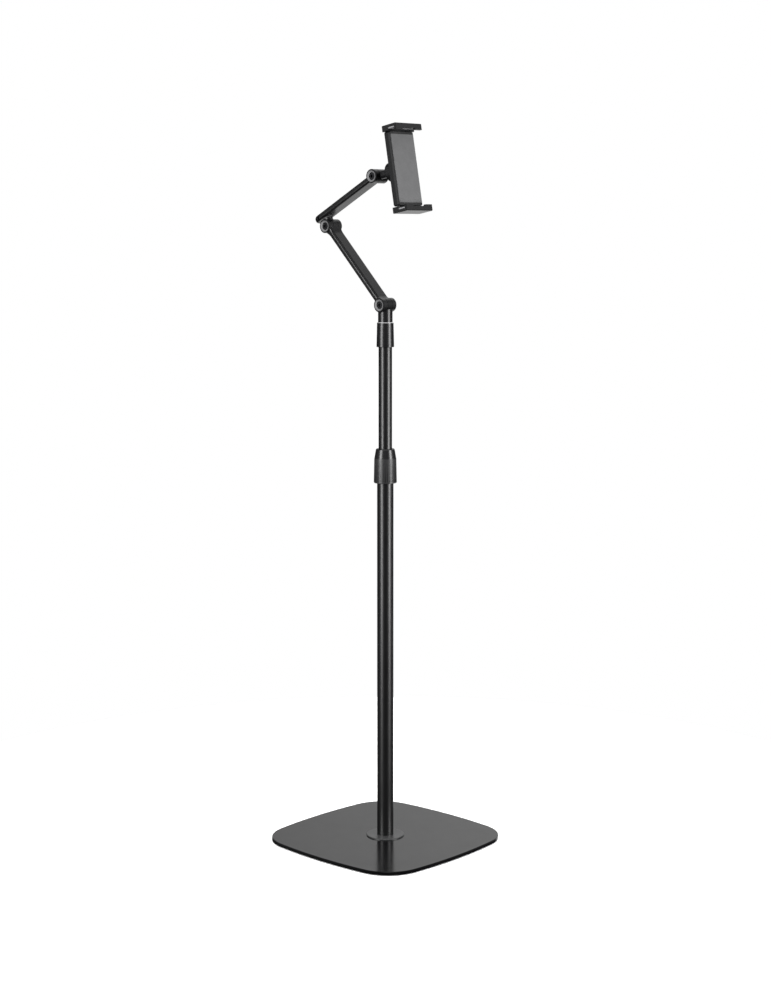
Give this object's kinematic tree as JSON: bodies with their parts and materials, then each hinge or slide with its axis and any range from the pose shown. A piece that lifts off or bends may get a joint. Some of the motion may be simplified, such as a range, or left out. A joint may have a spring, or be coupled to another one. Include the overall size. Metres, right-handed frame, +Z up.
{
  "type": "adjustable tablet floor stand",
  "caption": "Floor stand with a flat square foot, a telescopic pole with twist lock, hinged swivel arms and a sprung tablet clamp on a ball head.",
  "frame": {"origin": "on the floor under the middle of the foot plate and the pole's axis", "axes": "+Z up along the pole, +X forward to the user, the way the tablet faces, -Y the side with the light-ringed hinge caps"},
  "size_m": [0.292, 0.292, 1.0951],
  "materials": {
    "plate_paint": "satin powder coat, dark grey",
    "foot_rubber": "matte moulded rubber",
    "disc_paint": "satin dark grey, bright turned rim",
    "tube_paint": "satin black powder coat",
    "zinc_steel": "zinc plated",
    "lock_gloss": "glossy black",
    "lock_rubber": "matte ribbed grip",
    "inner_plastic": "natural nylon",
    "sleeve_alloy": "satin black, turned",
    "arm_alloy": "satin black cast",
    "trim_alloy": "satin light grey, turned",
    "cap_plastic": "fine matte black",
    "black_steel": "satin black",
    "ball_steel": "polished, dark plated",
    "clamp_plastic": "fine moulded texture, black",
    "pad_silicone": "soft matte mid grey",
    "jaw_silicone": "soft matte light grey"
  },
  "bodies": {
    "stand": {"base_plate": "plate_paint", "base_feet": "foot_rubber", "foot_disc": "disc_paint", "base_bolt": "zinc_steel", "tube_foot_plug": "inner_plastic", "lower_tube": "tube_paint", "thread_ring": "cap_plastic", "lock_collet": "inner_plastic"},
    "lock": {"lock_nut": "lock_gloss", "lock_grip": "lock_rubber"},
    "mast": {"upper_tube": "tube_paint", "tube_end_guide": "inner_plastic", "top_sleeve": "sleeve_alloy", "swivel_bush": "inner_plastic"},
    "head": {"head_post": "arm_alloy", "spigot_washer": "zinc_steel", "spigot_screw": "zinc_steel"},
    "lower_arm": {"lower_arm": "arm_alloy", "shoulder_bolt": "zinc_steel", "shoulder_nut": "zinc_steel", "shoulder_washers": "inner_plastic", "shoulder_trim_ring": "trim_alloy", "shoulder_end_cap": "cap_plastic", "elbow_bolt": "zinc_steel", "elbow_nut": "zinc_steel", "elbow_washers": "inner_plastic", "elbow_trim_ring": "trim_alloy", "elbow_end_cap": "cap_plastic"},
    "elbow_knuckle": {"elbow_knuckle": "arm_alloy", "swivel_washer": "cap_plastic", "swivel_bolt": "zinc_steel", "swivel_top_washer": "zinc_steel"},
    "upper_arm": {"upper_arm": "arm_alloy", "swivel_cap": "cap_plastic", "wrist_bolt": "zinc_steel", "wrist_nut": "zinc_steel", "wrist_washers": "inner_plastic", "wrist_trim_ring": "trim_alloy", "wrist_end_cap": "cap_plastic"},
    "neck": {"clamp_neck": "arm_alloy", "ball_stud": "ball_steel"},
    "ball_seat": {"ball_seat": "inner_plastic"},
    "clamp": {"clamp_back_shell": "clamp_plastic", "clamp_front_plate": "clamp_plastic", "clamp_pad": "pad_silicone", "clamp_screws": "black_steel"},
    "ring_nut": {"ring_nut": "clamp_plastic"},
    "top_jaw": {"top_jaw": "clamp_plastic", "top_jaw_pad": "jaw_silicone", "top_slider": "black_steel", "top_spring": "zinc_steel"},
    "bottom_jaw": {"bottom_jaw": "clamp_plastic", "bottom_jaw_pad": "jaw_silicone", "bottom_slider": "black_steel", "bottom_spring": "zinc_steel"}
  },
  "joints": [
    {"name": "lock_turn", "type": "hinge", "parent": "stand", "child": "lock", "pos_m": [0, 0, 0.5785], "axis": [0, 0, 1], "range_deg": [0, 120]},
    {"name": "height_slide", "type": "slide", "parent": "stand", "child": "mast", "axis": [0, 0, 1], "range_m": [-0.148, 0.25]},
    {"name": "head_swivel", "type": "hinge", "parent": "mast", "child": "head", "pos_m": [0, 0, 0.797], "axis": [0, 0, 1], "continuous": true},
    {"name": "shoulder_tilt", "type": "hinge", "parent": "head", "child": "lower_arm", "pos_m": [0, 0, 0.8232], "axis": [0, 1, 0], "range_deg": [-35, 120]},
    {"name": "elbow_tilt", "type": "hinge", "parent": "lower_arm", "child": "elbow_knuckle", "pos_m": [-0.11459, 0, 0.94248], "axis": [0, 1, 0], "range_deg": [-75, 35]},
    {"name": "arm_swivel", "type": "hinge", "parent": "elbow_knuckle", "child": "upper_arm", "pos_m": [-0.12373, 0, 0.95947], "axis": [-0.4741, 0, 0.8805], "continuous": true},
    {"name": "wrist_tilt", "type": "hinge", "parent": "upper_arm", "child": "neck", "pos_m": [-0.01596, 0, 1.0175], "axis": [0, -1, 0], "range_deg": [-80, 90]},
    {"name": "ball_nod", "type": "hinge", "parent": "neck", "child": "ball_seat", "pos_m": [0.01857, 0, 1.02378], "axis": [0, 1, 0], "range_deg": [-12, 12]},
    {"name": "clamp_spin", "type": "hinge", "parent": "ball_seat", "child": "clamp", "pos_m": [0.01857, 0, 1.02378], "axis": [0.9839, 0, 0.1788], "continuous": true},
    {"name": "ring_turn", "type": "hinge", "parent": "clamp", "child": "ring_nut", "pos_m": [0.01857, 0, 1.02378], "axis": [0.9839, 0, 0.1788], "range_deg": [0, 75]},
    {"name": "top_jaw_slide", "type": "slide", "parent": "clamp", "child": "top_jaw", "axis": [-0.1788, 0, 0.9839], "range_m": [0, 0.052], "stiffness_N_per_m": 60, "springref_m": -0.12, "deforming": ["top_spring"]},
    {"name": "bottom_jaw_slide", "type": "slide", "parent": "clamp", "child": "bottom_jaw", "axis": [0.1788, 0, -0.9839], "range_m": [0, 0.052], "stiffness_N_per_m": 60, "springref_m": -0.12, "deforming": ["bottom_spring"]}
  ]
}
